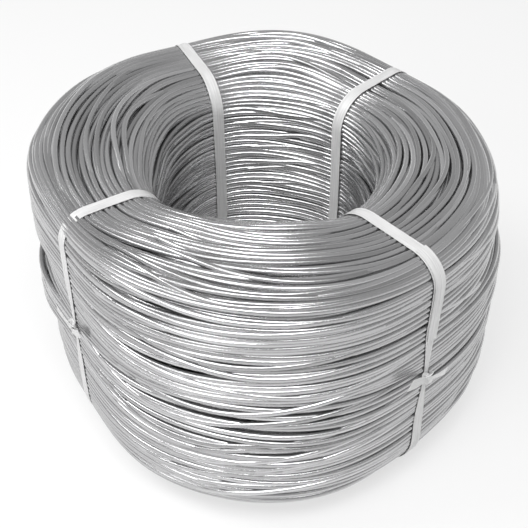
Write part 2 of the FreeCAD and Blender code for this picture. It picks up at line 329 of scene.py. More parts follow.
    # drift along the outline, less of it in the bore, where the turns are short and stiff
    turnShare = addNode(tree, "ShaderNodeMath", {"operation": "DIVIDE"}, {0: turn, 1: turns})
    shareWrapped = addNode(tree, "ShaderNodeMath", {"operation": "FRACT"}, {0: turnShare})
    unmoved = addNode(tree, "GeometryNodeSampleCurve", {"mode": "FACTOR", "use_all_curves": True},
                      {"Curves": section, "Factor": shareWrapped})
    unmovedSpot = addNode(tree, "ShaderNodeSeparateXYZ", None, {0: unmoved.outputs["Position"]})
    slack = addNode(tree, "ShaderNodeMath", {"operation": "DIVIDE"},
                    {0: unmovedSpot.outputs["X"], 1: given["Outer Radius"]})
    shift = 0.0
    for name, amount in (("wander", "Wander"), ("bunch", "Bunch"), ("stray", "Stray")):
        shift = addNode(tree, "ShaderNodeMath", {"operation": "MULTIPLY_ADD"},
                        {0: drift[name], 1: given[amount], 2: shift})
    freeShift = addNode(tree, "ShaderNodeMath", {"operation": "MULTIPLY"}, {0: shift, 1: loose})
    slackShift = addNode(tree, "ShaderNodeMath", {"operation": "MULTIPLY"}, {0: freeShift, 1: slack})
    shiftShare = addNode(tree, "ShaderNodeMath", {"operation": "DIVIDE"}, {0: slackShift, 1: girth})
    place = addNode(tree, "ShaderNodeMath", {"operation": "ADD"}, {0: turnShare, 1: shiftShare})
    placeWrapped = addNode(tree, "ShaderNodeMath", {"operation": "FRACT"}, {0: place})
    sample = addNode(tree, "GeometryNodeSampleCurve", {"mode": "FACTOR", "use_all_curves": True},
                     {"Curves": section, "Factor": placeWrapped})
    spot = addNode(tree, "ShaderNodeSeparateXYZ", None, {0: sample.outputs["Position"]})
    run = addNode(tree, "ShaderNodeSeparateXYZ", None, {0: sample.outputs["Tangent"]})

    # every other bunch stands proud of its neighbours between the ties
    wave = addNode(tree, "ShaderNodeMath", {"operation": "MULTIPLY"}, {0: bunch, 1: math.pi})
    waveCosine = addNode(tree, "ShaderNodeMath", {"operation": "COSINE"}, {0: wave})
    parity = addNode(tree, "ShaderNodeMapRange", None,
                     {"Value": waveCosine, "From Min": 1.0, "From Max": -1.0})
    swell = addNode(tree, "ShaderNodeMapRange", None, {
        "Value": drift["swell"], "From Min": winding["proudFrom"], "From Max": winding["proudTo"]})
    proud = addNode(tree, "ShaderNodeMath", {"operation": "MULTIPLY"}, {0: parity, 1: swell})
    liftBy = addNode(tree, "ShaderNodeMath", {"operation": "MULTIPLY"}, {0: proud, 1: given["Proud"]})
    for name, amount in (("lift", "Lift"), ("tier", "Tier")):
        liftBy = addNode(tree, "ShaderNodeMath", {"operation": "MULTIPLY_ADD"},
                         {0: drift[name], 1: given[amount], 2: liftBy})
    for bulge in bulges:
        beside = nearAzimuth(tree, angle, bulge["azimuth"], bulge["spread"] ** 2)
        above = addNode(tree, "ShaderNodeMath", {"operation": "SUBTRACT"},
                        {0: unmovedSpot.outputs["Y"], 1: bulge["level"]})
        distance = addNode(tree, "ShaderNodeMath", {"operation": "ABSOLUTE"}, {0: above})
        within = addNode(tree, "ShaderNodeMapRange", {"interpolation_type": "SMOOTHSTEP"}, {
            "Value": distance, "From Min": bulge["halfHeight"] - bulgeEdge,
            "From Max": bulge["halfHeight"], "To Min": bulge["reach"], "To Max": 0.0})
        liftBy = addNode(tree, "ShaderNodeMath", {"operation": "MULTIPLY_ADD"},
                         {0: beside, 1: within, 2: liftBy})
    freeLift = addNode(tree, "ShaderNodeMath", {"operation": "MULTIPLY"}, {0: liftBy, 1: free})
    inset = addNode(tree, "ShaderNodeMath", {"operation": "ADD"},
                    {0: given["Depth"], 1: given["Cable Radius"]})
    tucked = addNode(tree, "ShaderNodeMath", {"operation": "MULTIPLY_ADD"},
                     {0: hold, 1: given["Tuck"], 2: inset})
    off = addNode(tree, "ShaderNodeMath", {"operation": "SUBTRACT"}, {0: freeLift, 1: tucked})
    facing = addNode(tree, "ShaderNodeMapRange", None,
                     {"Value": run.outputs["Y"], "From Min": -1.0, "From Max": 1.0,
                      "To Min": given["Pinch Bore"], "To Max": given["Pinch Side"]})
    sidePinch = addNode(tree, "ShaderNodeMath", {"operation": "MULTIPLY"}, {0: hold, 1: facing})
    endPinch = addNode(tree, "ShaderNodeMath", {"operation": "MULTIPLY"}, {0: hold, 1: given["Pinch End"]})
    sideOff = addNode(tree, "ShaderNodeMath", {"operation": "SUBTRACT"}, {0: off, 1: sidePinch})
    endOff = addNode(tree, "ShaderNodeMath", {"operation": "SUBTRACT"}, {0: off, 1: endPinch})

    # the coil's uneven roundness and level
    fromOval = addNode(tree, "ShaderNodeMath", {"operation": "SUBTRACT"}, {0: angle, 1: given["Oval Turn"]})
    twice = addNode(tree, "ShaderNodeMath", {"operation": "MULTIPLY"}, {0: fromOval, 1: 2.0})
    oval = addNode(tree, "ShaderNodeMath", {"operation": "COSINE"}, {0: twice})
    waves = addNode(tree, "ShaderNodeCombineXYZ", None, {"X": cosine, "Y": sine, "Z": oval})
    sideSwing = addNode(tree, "ShaderNodeVectorMath", {"operation": "DOT_PRODUCT"},
                        {0: waves, 1: given["Side Swing"]})
    levelSwing = addNode(tree, "ShaderNodeVectorMath", {"operation": "DOT_PRODUCT"},
                         {0: waves, 1: given["Level Swing"]})
    heightShare = addNode(tree, "ShaderNodeMath", {"operation": "DIVIDE"},
                          {0: spot.outputs["Y"], 1: given["Height"]})
    widthShare = addNode(tree, "ShaderNodeMapRange", None, {
        "Value": spot.outputs["X"], "From Min": given["Bore Radius"], "From Max": given["Outer Radius"]})
    swungSide = addNode(tree, "ShaderNodeMath", {"operation": "MULTIPLY_ADD"},
                        {0: sideSwing.outputs["Value"], 1: widthShare, 2: spot.outputs["X"]})
    swungLevel = addNode(tree, "ShaderNodeMath", {"operation": "MULTIPLY_ADD"},
                         {0: levelSwing.outputs["Value"], 1: heightShare, 2: spot.outputs["Y"]})

    # outward normal of the outline is (tangent.y, -tangent.x)
    radius = addNode(tree, "ShaderNodeMath", {"operation": "MULTIPLY_ADD"},
                     {0: run.outputs["Y"], 1: sideOff, 2: swungSide})
    backwards = addNode(tree, "ShaderNodeMath", {"operation": "MULTIPLY"}, {0: run.outputs["X"], 1: -1.0})
    level = addNode(tree, "ShaderNodeMath", {"operation": "MULTIPLY_ADD"},
                    {0: backwards, 1: endOff, 2: swungLevel})
    x = addNode(tree, "ShaderNodeMath", {"operation": "MULTIPLY"}, {0: radius, 1: cosine})
    y = addNode(tree, "ShaderNodeMath", {"operation": "MULTIPLY"}, {0: radius, 1: sine})
    position = addNode(tree, "ShaderNodeCombineXYZ", None, {"X": x, "Y": y, "Z": level})
    laid = addNode(tree, "GeometryNodeSetPosition", None, {"Geometry": strand, "Position": position})
    upright = addNode(tree, "GeometryNodeSetCurveNormal", {"mode": "Z_UP"}, {"Curve": laid})
    runLength = addNode(tree, "GeometryNodeSplineParameter")
    stored = addNode(tree, "GeometryNodeStoreNamedAttribute", floatOnPoints, {
        "Geometry": upright, "Name": "cableRun", "Value": runLength.outputs["Length"]})
    circle = addNode(tree, "GeometryNodeCurvePrimitiveCircle", {"mode": "RADIUS"},
                     {"Resolution": given["Sides"], "Radius": given["Cable Radius"]})
    circleSpot = addNode(tree, "GeometryNodeInputPosition")
    circleDirection = addNode(tree, "ShaderNodeVectorMath", {"operation": "NORMALIZE"}, {0: circleSpot})
    profile = addNode(tree, "GeometryNodeStoreNamedAttribute", vectorOnPoints, {
        "Geometry": circle, "Name": "cableRound", "Value": circleDirection})
    tube = addNode(tree, "GeometryNodeCurveToMesh", None,
                   {"Curve": stored, "Profile Curve": profile, "Fill Caps": True})
    smooth = addNode(tree, "GeometryNodeSetShadeSmooth", None, {"Geometry": tube})
    finishTree(tree, smooth, material)
    return tree


def setInputs(modifier, values):
    for item in modifier.node_group.interface.items_tree:
        if item.in_out == "INPUT" and item.name in values:
            modifier[item.identifier] = values[item.name]


# runs a tree on an empty mesh and keeps the result as a plain mesh
def bake(name, tree, values):
    carrier = bpy.data.objects.new(name + "Carrier", bpy.data.meshes.new(name + "Carrier"))
    bpy.context.scene.collection.objects.link(carrier)
    modifier = carrier.modifiers.new("build", "NODES")
    modifier.node_group = tree
    setInputs(modifier, values)
    evaluated = carrier.evaluated_get(bpy.context.evaluated_depsgraph_get())
    mesh = bpy.data.meshes.new_from_object(evaluated)
    mesh.name = name
    piece = bpy.data.objects.new(name, mesh)
    bpy.context.scene.collection.objects.link(piece)
    bpy.data.objects.remove(carrier)
    return piece


sheath = clearSheathOverTinnedCopper()
turnsTree = windingTree(sheath)

shape = {
    "Outer Radius": coil["outerRadius"], "Bore Radius": coil["boreRadius"], "Height": coil["height"],
    "Shoulder Radius": coil["shoulderRadius"], "Foot Radius": coil["footRadius"],
    "Rim Radius": coil["rimRadius"], "Pinch Side": coil["pinchSide"], "Pinch End": coil["pinchEnd"],
    "Pinch Bore": coil["pinchBore"], "Tie Spread": coil["tieSpread"], "Oval Turn": coil["ovalTurn"],
    "Side Swing": coil["sideSwing"], "Level Swing": coil["levelSwing"],
    "Cable Radius": cable["diameter"] / 2, "Turn Spacing": cable["turnSpacing"], "Sides": cable["sides"],
}
for number, tieAngle in enumerate(tieAngles, start=1):
    shape["Tie %d" % number] = tieAngle

# each layer lists only what changes from the layer before it
layers = {
    "turnsWall": {
        "Depth": 0.0006, "Tuck": 0.0, "From": 0.0, "To": 0.3, "Wander": 0.0036, "Bunch": 0.0016,
        "Stray": 0.0011, "Lift": 0.0005, "Proud": 0.0012, "Tier": 0.0008, "Bunch Size": 4.3,
        "Slope": 1.0, "Seed": 3.0, "Stations": 144,
    },
    "turnsTop": {"From": 0.3, "To": 0.55},
    "turnsBore": {"From": 0.55, "To": 0.8},
    "turnsBase": {"From": 0.8, "To": 1.0},
    "turnsUnderWall": {
        "Depth": 0.0030, "From": 0.0, "To": 0.5, "Slope": -1.0, "Seed": 8.0, "Stations": 112,
    },
    "turnsUnderBore": {"From": 0.5, "To": 1.0},
    "turnsLoose": {
        "Depth": -0.0002, "Tuck": 0.0012, "From": 0.0, "To": 0.75, "Wander": 0.006, "Bunch": 0.0,
        "Stray": 0.004, "Lift": 0.0006, "Proud": 0.0, "Tier": 0.0006, "Slope": 1.0, "Seed": 21.0,
        "Stations": 160, "Turn Spacing": 0.0075,
    },
}
pieces = []
settings = dict(shape)
for name, changes in layers.items():
    settings.update(changes)
    piece = bake(name, turnsTree, settings)
    pieces.append(piece)
    print(name, len(piece.data.polygons) * 2, "triangles")

for piece in pieces:
    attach(piece, "root")
    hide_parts("cable_coil")

tapeLook = {
    "colour": "#DADADA",
    "streakDark": 0.80,
    "streakScale": (2200, 60, 1),    # streaks per metre across and along the tape
    "roughness": 0.36,
    "smoother": 0.08,        # how far clouds take the roughness down and up
    "rougher": 0.1,
    "cloudScale": 140.0,
    "reliefStrength": 0.5,
    "reliefDepth": 0.0002,
    "ior": 1.49,
    "seeThrough": 0.08,
}


# thin milky polypropylene tape: satin, a little see-through, with the
# lengthwise streaks that it gets when it is drawn tight
def milkyDrawnTape():
    material = emptyMaterial("milkyDrawnPolypropylene")
    tree = material.node_tree
    place = addNode(tree, "ShaderNodeAttribute", {"attribute_name": "tapePlace"})
    stretched = addNode(tree, "ShaderNodeMapping", None,
                        {"Vector": place.outputs["Vector"], "Scale": tapeLook["streakScale"]})
    streaks = addNode(tree, "ShaderNodeTexNoise", {"noise_dimensions": "2D"},
                      {"Vector": stretched, "Scale": 1.0, "Detail": 3.0})
    clouds = addNode(tree, "ShaderNodeTexNoise", {"noise_dimensions": "2D"},
                     {"Vector": place.outputs["Vector"], "Scale": tapeLook["cloudScale"], "Detail": 2.0})
    tone = addNode(tree, "ShaderNodeMapRange", None, {
        "Value": streaks.outputs["Fac"], "From Min": noiseLow, "From Max": noiseHigh,
        "To Min": tapeLook["streakDark"], "To Max": 1.0})
    colour = addNode(tree, "ShaderNodeVectorMath", {"operation": "SCALE"},
                     {0: linear(tapeLook["colour"])[:3], "Scale": tone})
    roughness = addNode(tree, "ShaderNodeMapRange", None, {
        "Value": clouds.outputs["Fac"], "From Min": noiseLow, "From Max": noiseHigh,
        "To Min": tapeLook["roughness"] - tapeLook["smoother"],
        "To Max": tapeLook["roughness"] + tapeLook["rougher"]})
    relief = addNode(tree, "ShaderNodeBump", None, {
        "Height": streaks.outputs["Fac"], "Strength": tapeLook["reliefStrength"],
        "Distance": tapeLook["reliefDepth"]})
    shader = addNode(tree, "ShaderNodeBsdfPrincipled", None, {
        "Base Color": colour.outputs["Vector"],
        "Roughness": roughness,
        "Normal": relief.outputs["Normal"],
        "IOR": tapeLook["ior"],
        "Transmission Weight": tapeLook["seeThrough"],
    })
    addNode(tree, "ShaderNodeOutputMaterial", None, {"Surface": shader})
    return material


# how every tape is folded, in metres
band = {
    "cornerPoints": 14,
    "pathPoints": 420,
    "widthCuts": 5,
    "gatherFrom": 0.001,     # distances from the knot between which the tape widens
    "gatherTo": 0.030,       # and starts to drift sideways
    "driftRate": 18.0,       # sideways drifts per metre of distance from the knot
    "crinkleAcross": 750.0,  # crinkles per metre across and along the tape
    "crinkleAlong": 45.0,
    "lapOut": 0.00045,       # how far the doubled end stands off the band
    "lapAside": (0.0, 0.0, -0.0006),
    "creaseAngle": 0.9,
}
knotFolds = {
    "points": 84,
    "weave": 2.0,            # second wave of the overhand turn against its first
    "depth": 0.9,
    "strandSides": 10,
    "strandRadius": 0.001,
    "strandShape": (0.42, 1.0, 1.0),
    "lumpRadius": 0.0017,
    "lumpShape": (0.75, 1.0, 1.15),
    "lumpLevels": 3,
}
tailStrip = {
    "points": 26,
    "start": (0.0006, 0.0, 0.0),
    "narrow": 0.3,           # its width in the knot, as a share of the tape's
    "wideFrom": 0.75,        # shares of its length where it is wide, and where its cut starts
    "cutFrom": 0.4,
}


# a flat tape round the section of the coil, with its knot and two tails;
# built with X outwards, Y along the turns and Z up, then turned to its azimuth
def tapeTree(material):
    sizes = [
        "Outer", "Bore", "Top", "Bottom", "Shoulder Radius", "Foot Radius", "Rim Radius",
        "Azimuth", "Knot Level", "Width", "Thickness", "Gathered", "Drift", "Crinkle", "Knot Size",
        "Lap From", "Lap To", "Tail Gap", "Seed",
    ]
    places = []
    for side in ("Left", "Right"):
        places += [side + " Tail Bend", side + " Tail Tip"]
        sizes += [side + " Tail Width", side + " Tail Twist", side + " Tail Cut"]
    tree = emptyTree("tieTape", sizes, places, ["Lap Points"])
    given = addNode(tree, "NodeGroupInput").outputs
    spans = (given["Outer"], given["Bore"], given["Top"], given["Bottom"])
    section = sectionOutline(tree, given, spans, band["cornerPoints"])
    path = addNode(tree, "GeometryNodeResampleCurve", None, {"Curve": section, "Count": band["pathPoints"]})

    # the lap: a second run of tape on the shoulder, where its loose end lies on the band
    lapPoints = addNode(tree, "GeometryNodeMeshLine", None, {"Count": given["Lap Points"]})
    lapCurve = addNode(tree, "GeometryNodeMeshToCurve", None, {"Mesh": lapPoints})
    lapIndex = addNode(tree, "GeometryNodeInputIndex")
    lapLast = addNode(tree, "ShaderNodeMath", {"operation": "SUBTRACT"}, {0: given["Lap Points"], 1: 1.0})
    lapShare = addNode(tree, "ShaderNodeMath", {"operation": "DIVIDE"}, {0: lapIndex, 1: lapLast})
    lapLength = addNode(tree, "ShaderNodeMapRange", None, {
        "Value": lapShare, "To Min": given["Lap From"], "To Max": given["Lap To"]})
    lapSample = addNode(tree, "GeometryNodeSampleCurve", {"mode": "LENGTH", "use_all_curves": True},
                        {"Curves": path, "Length": lapLength})
    lapSide = addNode(tree, "ShaderNodeVectorMath", {"operation": "CROSS_PRODUCT"},
                      {0: lapSample.outputs["Tangent"], 1: (0.0, 0.0, 1.0)})
    lapOut = addNode(tree, "ShaderNodeVectorMath", {"operation": "SCALE"},
                     {0: lapSide, "Scale": band["lapOut"]})
    lapAside = addNode(tree, "ShaderNodeVectorMath", {"operation": "ADD"},
                       {0: lapOut, 1: band["lapAside"]})
    lapSpot = addNode(tree, "ShaderNodeVectorMath", {"operation": "ADD"},
                      {0: lapSample.outputs["Position"], 1: lapAside})
    lap = addNode(tree, "GeometryNodeSetPosition", None, {"Geometry": lapCurve, "Position": lapSpot})

    flat = addNode(tree, "GeometryNodeCurvePrimitiveQuadrilateral", {"mode": "RECTANGLE"},
                   {"Width": given["Thickness"], "Height": given["Width"]})
    finer = addNode(tree, "GeometryNodeSubdivideCurve", None, {"Curve": flat, "Cuts": band["widthCuts"]})
    flatSpot = addNode(tree, "GeometryNodeInputPosition")
    flatParts = addNode(tree, "ShaderNodeSeparateXYZ", None, {0: flatSpot})
    profile = addNode(tree, "GeometryNodeStoreNamedAttribute", floatOnPoints, {
        "Geometry": finer, "Name": "tapeAcross", "Value": flatParts.outputs["Y"]})

    # how far a point of the path is from the knot: the tape gathers there
    knotMiddle = addNode(tree, "ShaderNodeCombineXYZ", None,
                         {"X": given["Outer"], "Y": given["Knot Level"]})
    runs = []
    for curve in (path, lap):
        spot = addNode(tree, "GeometryNodeInputPosition")
        fromKnot = addNode(tree, "ShaderNodeVectorMath", {"operation": "DISTANCE"},
                           {0: spot, 1: knotMiddle})
        gather = addNode(tree, "ShaderNodeMapRange", {"interpolation_type": "SMOOTHSTEP"}, {
            "Value": fromKnot.outputs["Value"], "From Min": band["gatherFrom"],
            "From Max": band["gatherTo"], "To Min": given["Gathered"], "To Max": 1.0})
        length = addNode(tree, "GeometryNodeSplineParameter")
        driftSpot = addNode(tree, "ShaderNodeMath", {"operation": "MULTIPLY_ADD"},
                            {0: fromKnot.outputs["Value"], 1: band["driftRate"], 2: given["Seed"]})
        driftNoise = addNode(tree, "ShaderNodeTexNoise", {"noise_dimensions": "1D"},
                             {"W": driftSpot, "Scale": 1.0, "Detail": 0.0})
        driftSigned = addNode(tree, "ShaderNodeMath", {"operation": "SUBTRACT"}, {0: driftNoise, 1: 0.5})
        driftFree = addNode(tree, "ShaderNodeMapRange", None,
                            {"Value": fromKnot.outputs["Value"], "From Max": band["gatherTo"]})
        driftScaled = addNode(tree, "ShaderNodeMath", {"operation": "MULTIPLY"},
                              {0: driftSigned, 1: driftFree})
        driftBy = addNode(tree, "ShaderNodeMath", {"operation": "MULTIPLY"},
                          {0: driftScaled, 1: given["Drift"]})
        driftVector = addNode(tree, "ShaderNodeCombineXYZ", None, {"Z": driftBy})
        drifted = addNode(tree, "GeometryNodeSetPosition", None, {"Geometry": curve, "Offset": driftVector})
        upright = addNode(tree, "GeometryNodeSetCurveNormal", {"mode": "Z_UP"}, {"Curve": drifted})
        stored = addNode(tree, "GeometryNodeStoreNamedAttribute", floatOnPoints, {
            "Geometry": upright, "Name": "tapeRun", "Value": length.outputs["Length"]})
        normal = addNode(tree, "GeometryNodeInputNormal")
        kept = addNode(tree, "GeometryNodeStoreNamedAttribute", vectorOnPoints, {
            "Geometry": stored, "Name": "tapeOut", "Value": normal})
        tube = addNode(tree, "GeometryNodeCurveToMesh", None, {
            "Curve": kept, "Profile Curve": profile, "Scale": gather,
            "Fill Caps": True})
        runs.append(tube)
    both = addNode(tree, "GeometryNodeJoinGeometry", None, {0: runs})

    # lengthwise crinkles, pushed along the way out
    across = addNode(tree, "GeometryNodeInputNamedAttribute", {"data_type": "FLOAT"}, {"Name": "tapeAcross"})
    along = addNode(tree, "GeometryNodeInputNamedAttribute", {"data_type": "FLOAT"}, {"Name": "tapeRun"})
    out = addNode(tree, "GeometryNodeInputNamedAttribute", {"data_type": "FLOAT_VECTOR"}, {"Name": "tapeOut"})
    acrossWide = addNode(tree, "ShaderNodeMath", {"operation": "MULTIPLY"},
                         {0: across, 1: band["crinkleAcross"]})
    runWide = addNode(tree, "ShaderNodeMath", {"operation": "MULTIPLY"}, {0: along, 1: band["crinkleAlong"]})
    crinkleSpot = addNode(tree, "ShaderNodeCombineXYZ", None,
                          {"X": acrossWide, "Y": runWide, "Z": given["Seed"]})
    crinkleNoise = addNode(tree, "ShaderNodeTexNoise", {"noise_dimensions": "3D"},
                           {"Vector": crinkleSpot, "Scale": 1.0, "Detail": 1.0})
    crinkleBy = addNode(tree, "ShaderNodeMath", {"operation": "MULTIPLY"},
                        {0: crinkleNoise, 1: given["Crinkle"]})
    crinkleOut = addNode(tree, "ShaderNodeVectorMath", {"operation": "SCALE"},
                         {0: out, "Scale": crinkleBy})
    crinkled = addNode(tree, "GeometryNodeSetPosition", None, {"Geometry": both, "Offset": crinkleOut})
    stood = addNode(tree, "GeometryNodeTransform", None,
                    {"Geometry": crinkled, "Rotation": (math.pi / 2, 0.0, 0.0)})

    # the knot: an overhand turn of gathered tape over a small lump of folds
    ring = addNode(tree, "GeometryNodeCurvePrimitiveCircle", {"mode": "RADIUS"},
                   {"Resolution": knotFolds["points"], "Radius": 1.0})
    ringIndex = addNode(tree, "GeometryNodeInputIndex")
    ringAngle = addNode(tree, "ShaderNodeMath", {"operation": "MULTIPLY"},
                        {0: ringIndex, 1: math.tau / knotFolds["points"]})
    waves = {}
    for name, operation, times in (("sin1", "SINE", 1), ("sin2", "SINE", 2), ("sin3", "SINE", 3),
                                   ("cos1", "COSINE", 1), ("cos2", "COSINE", 2)):
        turned = addNode(tree, "ShaderNodeMath", {"operation": "MULTIPLY"}, {0: ringAngle, 1: float(times)})
        waves[name] = addNode(tree, "ShaderNodeMath", {"operation": operation}, {0: turned})
    aside = addNode(tree, "ShaderNodeMath", {"operation": "MULTIPLY_ADD"},
                    {0: waves["sin2"], 1: knotFolds["weave"], 2: waves["sin1"]})
    rise = addNode(tree, "ShaderNodeMath", {"operation": "MULTIPLY_ADD"},
                   {0: waves["cos2"], 1: -knotFolds["weave"], 2: waves["cos1"]})
    front = addNode(tree, "ShaderNodeMath", {"operation": "MULTIPLY"},
                    {0: waves["sin3"], 1: -knotFolds["depth"]})
    loop = addNode(tree, "ShaderNodeCombineXYZ", None, {"X": front, "Y": aside, "Z": rise})
    loopSized = addNode(tree, "ShaderNodeVectorMath", {"operation": "SCALE"},
                        {0: loop, "Scale": given["Knot Size"]})
    looped = addNode(tree, "GeometryNodeSetPosition", None, {"Geometry": ring, "Position": loopSized})
    gathered = addNode(tree, "GeometryNodeCurvePrimitiveCircle", {"mode": "RADIUS"},
                       {"Resolution": knotFolds["strandSides"], "Radius": knotFolds["strandRadius"]})
    gatheredFlat = addNode(tree, "GeometryNodeTransform", None,
                           {"Geometry": gathered, "Scale": knotFolds["strandShape"]})
    knotTape = addNode(tree, "GeometryNodeCurveToMesh", None,
                       {"Curve": looped, "Profile Curve": gatheredFlat})
    lump = addNode(tree, "GeometryNodeMeshIcoSphere", None,
                   {"Radius": knotFolds["lumpRadius"], "Subdivisions": knotFolds["lumpLevels"]})
    lumpFlat = addNode(tree, "GeometryNodeTransform", None,
                       {"Geometry": lump, "Scale": knotFolds["lumpShape"]})
    knot = addNode(tree, "GeometryNodeJoinGeometry", None, {0: [knotTape, lumpFlat]})

    # two tails that widen from the knot to an oblique cut
    tails = []
    for side in ("Left", "Right"):
        arc = addNode(tree, "GeometryNodeCurveQuadraticBezier", None, {
            "Resolution": tailStrip["points"], "Start": tailStrip["start"],
            "Middle": given[side + " Tail Bend"], "End": given[side + " Tail Tip"]})
        share = addNode(tree, "GeometryNodeSplineParameter")
        widen = addNode(tree, "ShaderNodeMapRange", {"interpolation_type": "SMOOTHSTEP"}, {
            "Value": share.outputs["Factor"], "From Max": tailStrip["wideFrom"],
            "To Min": tailStrip["narrow"], "To Max": given[side + " Tail Width"]})
        bend = addNode(tree, "ShaderNodeMath", {"operation": "MULTIPLY"},
                       {0: share.outputs["Factor"], 1: given[side + " Tail Twist"]})
        straight = addNode(tree, "GeometryNodeSetCurveNormal", {"mode": "Z_UP"}, {"Curve": arc})
        tilted = addNode(tree, "GeometryNodeSetCurveTilt", None, {"Curve": straight, "Tilt": bend})
        tangent = addNode(tree, "GeometryNodeInputTangent")
        cutShare = addNode(tree, "ShaderNodeMapRange", None, {
            "Value": share.outputs["Factor"], "From Min": tailStrip["cutFrom"],
            "To Max": given[side + " Tail Cut"]})
        cutVector = addNode(tree, "ShaderNodeVectorMath", {"operation": "SCALE"},
                            {0: tangent, "Scale": cutShare})
        cutKept = addNode(tree, "GeometryNodeStoreNamedAttribute", vectorOnPoints, {
            "Geometry": tilted, "Name": "tapeCut", "Value": cutVector})
        runStored = addNode(tree, "GeometryNodeStoreNamedAttribute", floatOnPoints, {
            "Geometry": cutKept, "Name": "tapeRun", "Value": share.outputs["Length"]})
        strip = addNode(tree, "GeometryNodeCurveToMesh", None, {
            "Curve": runStored, "Profile Curve": profile, "Scale": widen,
            "Fill Caps": True})
        tails.append(strip)
    tailPair = addNode(tree, "GeometryNodeJoinGeometry", None, {0: tails})
    cut = addNode(tree, "GeometryNodeInputNamedAttribute", {"data_type": "FLOAT_VECTOR"}, {"Name": "tapeCut"})
    cutBy = addNode(tree, "ShaderNodeVectorMath", {"operation": "SCALE"}, {0: cut, "Scale": across})
    cutTails = addNode(tree, "GeometryNodeSetPosition", None, {"Geometry": tailPair, "Offset": cutBy})
    knotSpot = addNode(tree, "ShaderNodeMath", {"operation": "ADD"},
                       {0: given["Outer"], 1: given["Tail Gap"]})
    knotPlace = addNode(tree, "ShaderNodeCombineXYZ", None, {"X": knotSpot, "Z": given["Knot Level"]})
    knotWhole = addNode(tree, "GeometryNodeJoinGeometry", None, {0: [knot, cutTails]})
    knotSet = addNode(tree, "GeometryNodeTransform", None,
                      {"Geometry": knotWhole, "Translation": knotPlace})

    whole = addNode(tree, "GeometryNodeJoinGeometry", None, {0: [stood, knotSet]})
    turn = addNode(tree, "ShaderNodeCombineXYZ", None, {"Z": given["Azimuth"]})
    turned = addNode(tree, "GeometryNodeTransform", None, {"Geometry": whole, "Rotation": turn})
    placeVector = addNode(tree, "ShaderNodeCombineXYZ", None, {"X": across, "Y": along})
    placed = addNode(tree, "GeometryNodeStoreNamedAttribute", vectorOnPoints, {
        "Geometry": turned, "Name": "tapePlace", "Value": placeVector})
    smooth = addNode(tree, "GeometryNodeSetShadeSmooth", None, {"Geometry": placed})
    bend = addNode(tree, "GeometryNodeInputMeshEdgeAngle")
    sharp = addNode(tree, "FunctionNodeCompare", {"data_type": "FLOAT", "operation": "GREATER_THAN"},
                    {0: bend.outputs["Unsigned Angle"], 1: band["creaseAngle"]})
    creased = addNode(tree, "GeometryNodeSetShadeSmooth", {"domain": "EDGE"}, {
        "Geometry": smooth, "Selection": sharp, "Shade Smooth": False})
    finishTree(tree, creased, material)
    return tree


# what all four tapes share; the levels and tails differ from tie to tie
tape = {
    "Width": 0.0056, "Thickness": 0.00018, "Gathered": 0.42, "Drift": 0.004, "Crinkle": 0.0004,
    "Knot Size": 0.0010, "Tail Gap": 0.0014, "Lap Points": 0, "Lap From": 0.0, "Lap To": 0.0,
    "Left Tail Bend": (0.0034, -0.008, 0.0062), "Left Tail Tip": (0.0042, -0.0160, 0.0098),
    "Left Tail Width": 0.85, "Left Tail Twist": 0.1, "Left Tail Cut": 0.5,
    "Right Tail Bend": (0.0026, 0.004, 0.0004), "Right Tail Tip": (0.0030, 0.0086, 0.0012),
    "Right Tail Width": 0.36, "Right Tail Twist": -0.5, "Right Tail Cut": -0.5,
}
tapes = {
    "tapeBackRight": {"tie": "tie_back_right", "Knot Level": 0.070, "Seed": 2.0},
    "tapeBackLeft": {"tie": "tie_back_left", "Knot Level": 0.078, "Seed": 9.0},
    "tapeFrontLeft": {
        "tie": "tie_front_left", "Knot Level": 0.077, "Seed": 4.0,
        "Left Tail Bend": (0.0030, -0.005, 0.004), "Left Tail Tip": (0.0030, -0.0062, 0.0082),
        "Left Tail Width": 0.4, "Right Tail Bend": (0.0028, 0.006, 0.0020),
        "Right Tail Tip": (0.0018, 0.0125, 0.0068), "Right Tail Width": 0.8, "Right Tail Twist": 0.2,
    },
    "tapeFrontRight": {
        "tie": "tie_front_right", "Knot Level": 0.074, "Seed": 6.0,
        "Lap Points": 60, "Lap From": 0.108, "Lap To": 0.156,
    },
}


tapeStandOff = 0.0001        # from the outside of the turns to the middle of the tape


# the section of the coil where a tie seats on its turns
def tieSection(azimuth):
    oval = math.cos(2 * (azimuth - coil["ovalTurn"]))
    waves = (math.cos(azimuth), math.sin(azimuth), oval)
    sideSwing = sum(wave * swing for wave, swing in zip(waves, coil["sideSwing"]))
    levelSwing = sum(wave * swing for wave, swing in zip(waves, coil["levelSwing"]))
    bedded = layers["turnsWall"]["Depth"] - tapeStandOff
    wallPinch = (coil["pinchSide"] + coil["pinchEnd"]) / 2
    rimPinch = (coil["pinchBore"] + coil["pinchEnd"]) / 2
    return {
        "Outer": coil["outerRadius"] + sideSwing - coil["pinchSide"] - bedded,
        "Bore": coil["boreRadius"] + coil["pinchBore"] + bedded,
        "Top": coil["height"] + levelSwing - coil["pinchEnd"] - bedded,
        "Bottom": coil["pinchEnd"] + bedded,
        "Shoulder Radius": coil["shoulderRadius"] - wallPinch - bedded,
        "Foot Radius": coil["footRadius"] - wallPinch - bedded,
        "Rim Radius": coil["rimRadius"] - rimPinch - bedded,
    }


tieTree = tapeTree(milkyDrawnTape())
for name, own in tapes.items():
    azimuth = tieAngles[ties.index(own["tie"])]
    settings = dict(tape)
    settings.update(tieSection(azimuth))
    settings.update(own)
    settings["Azimuth"] = azimuth
    piece = bake(name, tieTree, settings)
    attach(piece, "root")
    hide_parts(own["tie"])
    print(name, len(piece.data.polygons) * 2, "triangles")

